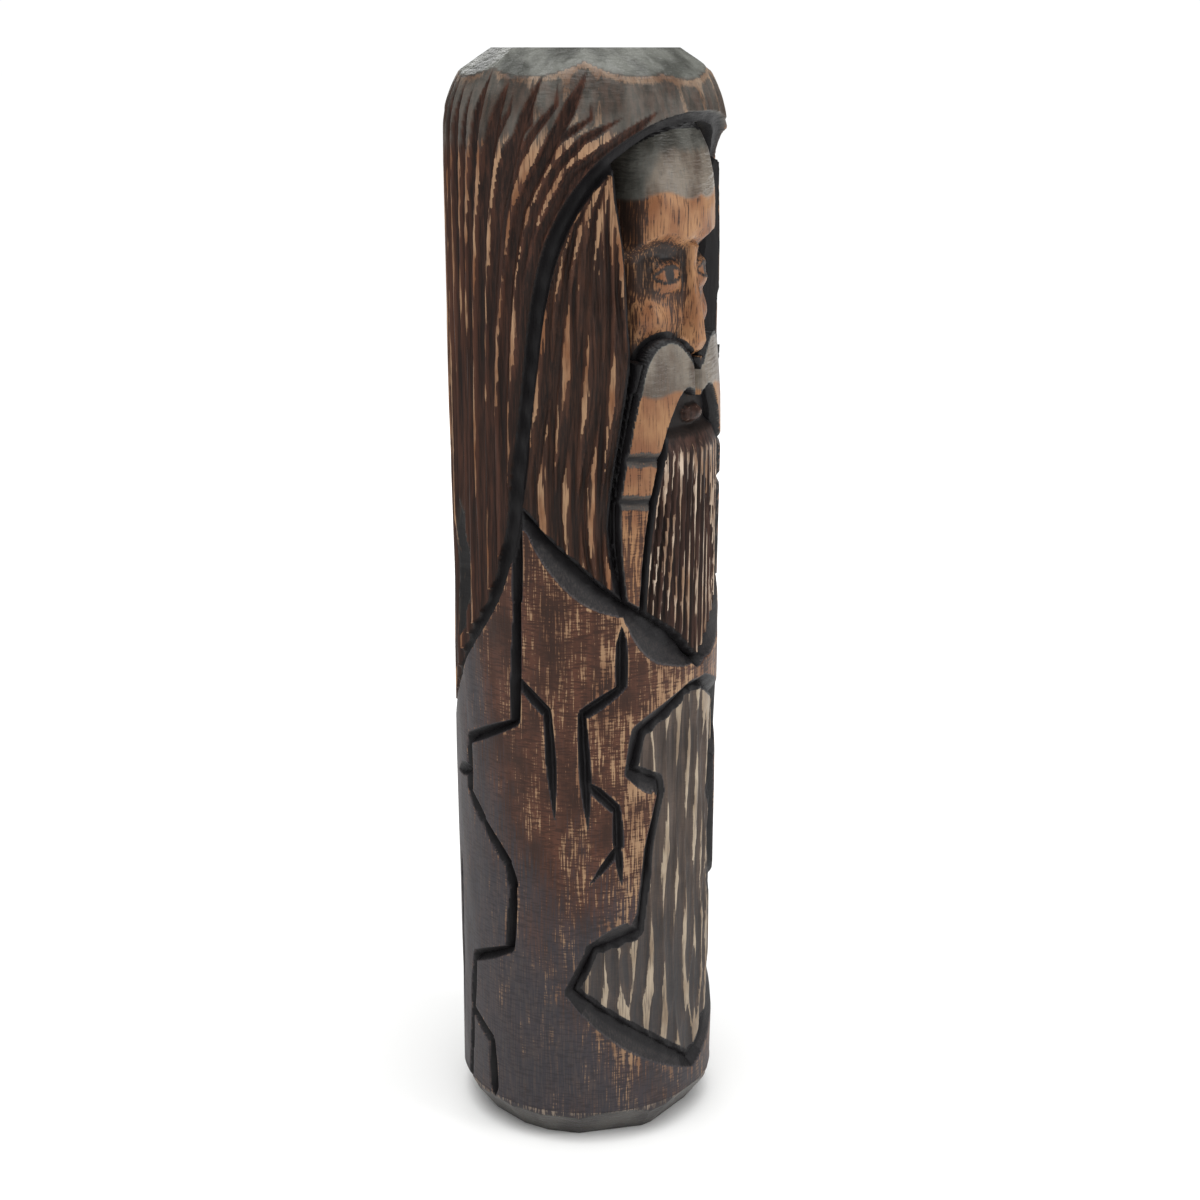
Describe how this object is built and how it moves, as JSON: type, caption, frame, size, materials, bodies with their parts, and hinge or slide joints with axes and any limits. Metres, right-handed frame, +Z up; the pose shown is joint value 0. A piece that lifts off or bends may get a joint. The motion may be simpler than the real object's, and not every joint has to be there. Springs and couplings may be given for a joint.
{
  "type": "carved figure",
  "caption": "Upright round wooden figure of a bearded elder in a hood of long hair, carved in relief over a lined robe, with a flat base.",
  "frame": {"origin": "middle of the flat base, on the surface it stands on", "axes": "+Z up along the billet; the face looks along -Y; +X is the figure's left"},
  "size_m": [0.06, 0.06, 0.24],
  "materials": {
    "heartwood": "plain sawn lime wood",
    "stained_foot": "burnt and stained lime wood, knife-cut, satin varnish",
    "stained_crown": "burnt and stained lime wood, knife facets, satin varnish",
    "burnt_hair": "burnt lime wood fluted with a gouge, ridges sanded back, satin varnish",
    "burnt_face": "burnt lime wood, high spots sanded back, satin varnish",
    "sanded_strap": "lime wood sanded back to tan, satin varnish",
    "burnt_beard": "burnt lime wood with fine flutes, ridges sanded back, satin varnish",
    "fluted_panel": "stained lime wood with shallow flutes, satin varnish",
    "stained_robe": "stained lime wood sanded smooth, satin varnish"
  },
  "bodies": {
    "root": {"heartwood_core": "heartwood", "foot_disc": "stained_foot", "crown_cap": "stained_crown", "hair_hood": "burnt_hair", "side_lock_right": "burnt_hair", "side_lock_left": "burnt_hair", "face": "burnt_face", "moustache_right": "sanded_strap", "moustache_left": "sanded_strap", "beard": "burnt_beard", "front_panel": "fluted_panel", "robe_right": "stained_robe", "robe_left": "stained_robe", "robe_back": "stained_robe"}
  },
  "joints": []
}
